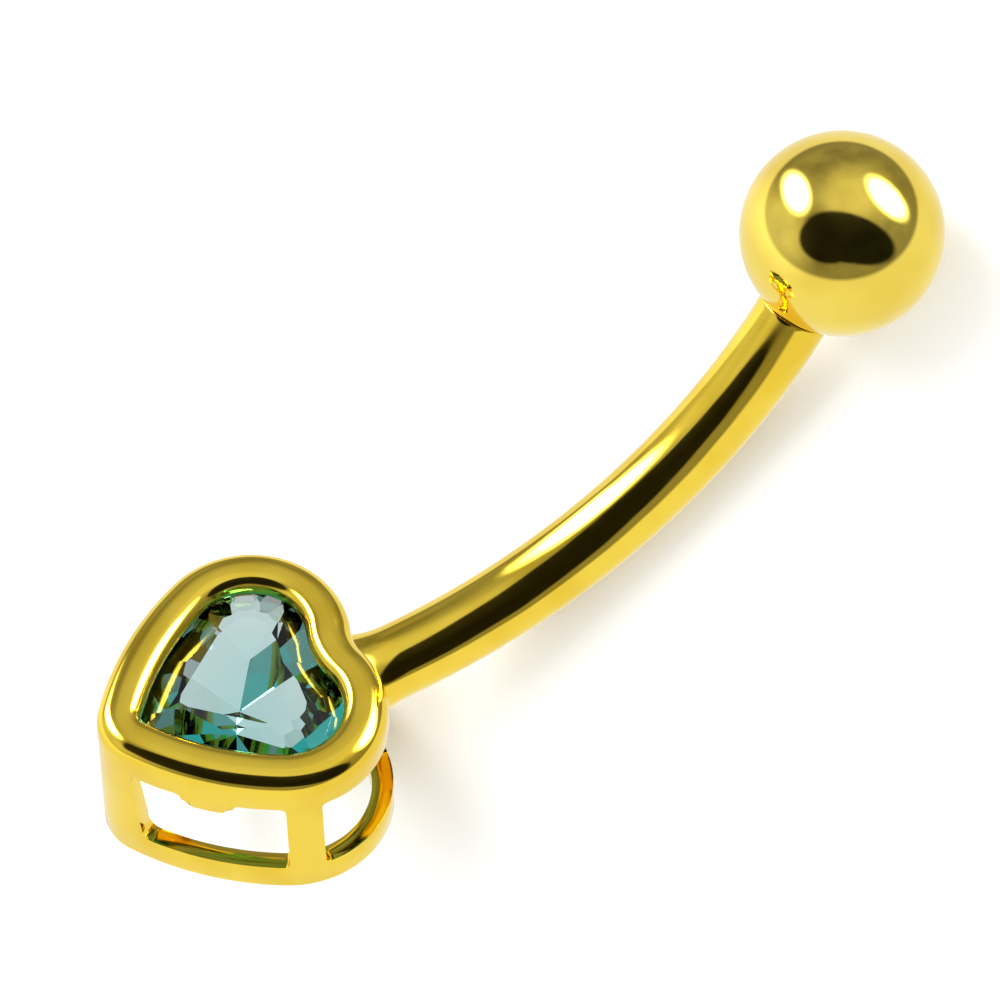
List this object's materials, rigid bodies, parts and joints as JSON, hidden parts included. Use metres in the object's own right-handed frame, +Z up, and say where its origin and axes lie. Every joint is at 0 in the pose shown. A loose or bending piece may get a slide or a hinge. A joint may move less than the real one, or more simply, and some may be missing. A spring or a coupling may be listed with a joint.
{
  "type": "navel ring",
  "caption": "Gold curved bar with a heart-shaped bezel setting and pale blue stone at one end and a plain screw-on ball at the other.",
  "frame": {"origin": "on the table, under the middle of the ring's bounding box as it lies by itself on one lobe of the setting, the belly of the bar and the ball", "axes": "+Z up from the table; +X from the middle of the setting towards the ball; +Y to the left of that way"},
  "size_m": [0.0222, 0.0068, 0.0063],
  "materials": {
    "gold": "polished yellow gold, cast and soldered",
    "stone": "faceted, polished, pale aqua",
    "ball_gold": "mirror-polished yellow gold"
  },
  "bodies": {
    "ring": {"bar_and_setting": "gold", "heart_stone": "stone"},
    "ball": {"screw_ball": "ball_gold"}
  },
  "joints": [
    {"name": "ball_off", "type": "slide", "parent": "ring", "child": "ball", "axis": [0.9318, 0.2123, 0.2945], "range_m": [0, 0.0032]}
  ]
}
